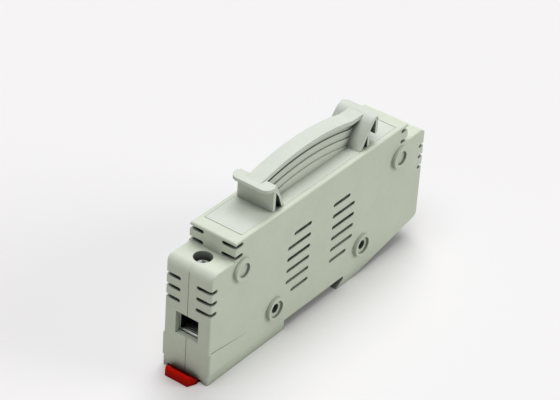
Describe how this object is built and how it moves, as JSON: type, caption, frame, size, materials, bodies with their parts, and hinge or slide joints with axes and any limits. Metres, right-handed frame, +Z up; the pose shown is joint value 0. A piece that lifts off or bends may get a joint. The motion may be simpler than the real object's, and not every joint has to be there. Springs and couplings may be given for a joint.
{
  "type": "fuse holder",
  "caption": "Slim rail-mounted holder for a cylindrical fuse link, with an arched pull-out carrier, stepped screw terminals at both ends, vented sides and a red rail clip.",
  "frame": {"origin": "middle of the face that seats on the 35 mm rail, on the holder's middle plane", "axes": "+X along the holder from the red clip end to the fixed hook end, +Y across it, +Z up, away from the rail"},
  "size_m": [0.1308, 0.0228, 0.0686],
  "materials": {
    "housing": "fine spark-eroded warm grey moulding",
    "carrier": "fine spark-eroded warm grey moulding",
    "fuse_body": "unglazed white ceramic",
    "fuse_cap": "nickel-plated copper alloy",
    "fuse_strip": "silver strip",
    "contact": "tin-plated copper",
    "spring_steel": "bright spring steel",
    "plated_steel": "zinc-plated steel",
    "clip": "red moulding"
  },
  "bodies": {
    "housing": {"housing_near": "housing", "housing_far": "housing", "contact_front": "contact", "contact_rear": "contact", "jaw_spring_front": "spring_steel", "jaw_spring_rear": "spring_steel", "busbar_front": "contact", "busbar_rear": "contact", "contact_rivets": "spring_steel"},
    "carrier": {"carrier_cap": "carrier", "carrier_frame": "carrier", "fuse_tube": "fuse_body", "fuse_cap_front": "fuse_cap", "fuse_cap_rear": "fuse_cap", "fuse_element": "fuse_strip"},
    "clip": {"rail_clip": "clip"},
    "front_cage": {"cage_front": "plated_steel"},
    "rear_cage": {"cage_rear": "plated_steel"},
    "front_screw": {"screw_front": "plated_steel"},
    "rear_screw": {"screw_rear": "plated_steel"}
  },
  "joints": [
    {"name": "carrier_slide", "type": "slide", "parent": "housing", "child": "carrier", "axis": [0, 0, 1], "range_m": [0, 0.046]},
    {"name": "clip_slide", "type": "slide", "parent": "housing", "child": "clip", "axis": [-1, 0, 0], "range_m": [0, 0.004], "stiffness_N_per_m": 1200},
    {"name": "screw_front_turn", "type": "hinge", "parent": "housing", "child": "front_screw", "pos_m": [-0.0543, 0, 0.038], "axis": [0, 0, -1], "range_deg": [0, 3332]},
    {"name": "screw_rear_turn", "type": "hinge", "parent": "housing", "child": "rear_screw", "pos_m": [0.0571, 0, 0.038], "axis": [0, 0, -1], "range_deg": [0, 3332]},
    {"name": "cage_front_lift", "type": "slide", "parent": "housing", "child": "front_cage", "axis": [0, 0, 1], "range_m": [0, 0.0074]},
    {"name": "cage_rear_lift", "type": "slide", "parent": "housing", "child": "rear_cage", "axis": [0, 0, 1], "range_m": [0, 0.0074]}
  ],
  "couplings": [
    {"joint": "screw_front_turn", "follows": "cage_front_lift", "rad_per_m": 7854},
    {"joint": "screw_rear_turn", "follows": "cage_rear_lift", "rad_per_m": 7854}
  ]
}
